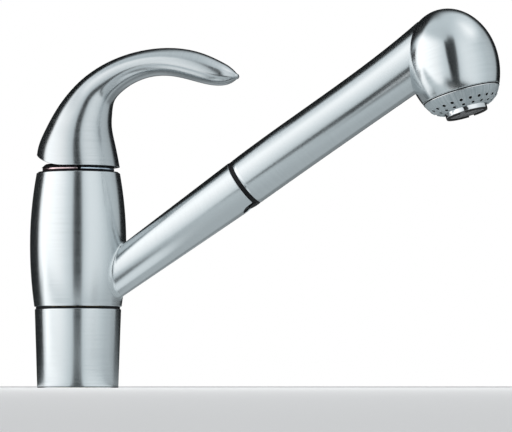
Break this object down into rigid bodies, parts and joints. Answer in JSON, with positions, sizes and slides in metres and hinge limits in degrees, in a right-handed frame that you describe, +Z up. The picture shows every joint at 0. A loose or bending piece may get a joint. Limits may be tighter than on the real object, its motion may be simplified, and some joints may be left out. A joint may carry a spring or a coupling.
{
  "type": "mixer tap",
  "caption": "Single-lever kitchen mixer tap with a swivelling column, a slanted spout and a pull-out spray handset with an egg shaped head.",
  "frame": {"origin": "centre of the base underside, on the deck", "axes": "+Z up, +X the way the spout points"},
  "size_m": [0.2798, 0.0562, 0.2793],
  "materials": {
    "satin_steel": "satin, brushed round",
    "brass": "turned",
    "plain_steel": "plain",
    "black_rubber": "matt",
    "black_plastic": "matt",
    "white_plastic": "matt",
    "disc_ceramic": "ground",
    "chrome": "polished",
    "grey_plastic": "satin",
    "hot_red": "satin",
    "cold_blue": "satin",
    "hose_braid": "braided"
  },
  "bodies": {
    "base": {"base_sleeve": "satin_steel", "base_gasket": "black_rubber", "threaded_shank": "brass", "rubber_washer": "black_rubber", "clamp_washer": "plain_steel", "fixing_nut": "brass", "bearing_bush": "white_plastic", "slide_ring": "black_plastic", "swivel_screw": "plain_steel"},
    "column": {"swivel_sleeve": "brass", "column_shell": "satin_steel", "valve_body": "brass", "port_seals": "black_rubber", "cartridge_base": "white_plastic", "fixed_disc": "disc_ceramic", "cartridge_housing": "white_plastic", "cartridge_nut": "brass", "neck_ring": "black_plastic", "hot_mark": "hot_red", "cold_mark": "cold_blue", "spout_tube": "satin_steel", "spout_bush": "black_plastic", "hose_bend": "hose_braid"},
    "spindle": {"spindle_carrier": "white_plastic", "pivot_pin": "plain_steel"},
    "mixing_slide": {"moving_disc": "disc_ceramic", "disc_slider": "white_plastic"},
    "lever": {"lever_handle": "satin_steel", "lever_stem": "plain_steel", "lever_screw": "plain_steel", "lever_screw_cap": "satin_steel"},
    "handset": {"handset_tube": "satin_steel", "head_shell": "satin_steel", "dock_tail": "black_plastic", "inlet_nipple": "brass", "strainer": "black_plastic", "hose_nut": "brass", "hose_ferrule": "plain_steel", "spray_hose": "hose_braid", "water_tube": "white_plastic", "spray_core": "white_plastic", "spray_face": "grey_plastic", "face_seal": "black_rubber"},
    "collar": {"jet_collar": "chrome", "aerator_housing": "white_plastic", "aerator_mesh": "plain_steel"}
  },
  "joints": [
    {"name": "column_swivel", "type": "hinge", "parent": "base", "child": "column", "pos_m": [0, 0, 0], "axis": [0, 0, 1], "range_deg": [-75, 75]},
    {"name": "lever_turn", "type": "hinge", "parent": "column", "child": "spindle", "pos_m": [0, 0, 0.107], "axis": [0, 0, 1], "range_deg": [-100, 0]},
    {"name": "lever_lift", "type": "hinge", "parent": "spindle", "child": "lever", "pos_m": [0, 0, 0.107], "axis": [0, -1, 0], "range_deg": [0, 25]},
    {"name": "disc_slide", "type": "slide", "parent": "spindle", "child": "mixing_slide", "axis": [1, 0, 0], "range_m": [0, 0.0036]},
    {"name": "handset_pull", "type": "slide", "parent": "column", "child": "handset", "axis": [0.8295, 0, 0.5585], "range_m": [0, 0.08]},
    {"name": "collar_pull", "type": "slide", "parent": "handset", "child": "collar", "axis": [0.279, 0, -0.9603], "range_m": [0, 0.0025]}
  ],
  "couplings": [
    {"joint": "disc_slide", "follows": "lever_lift", "m_per_rad": 0.0082328}
  ]
}
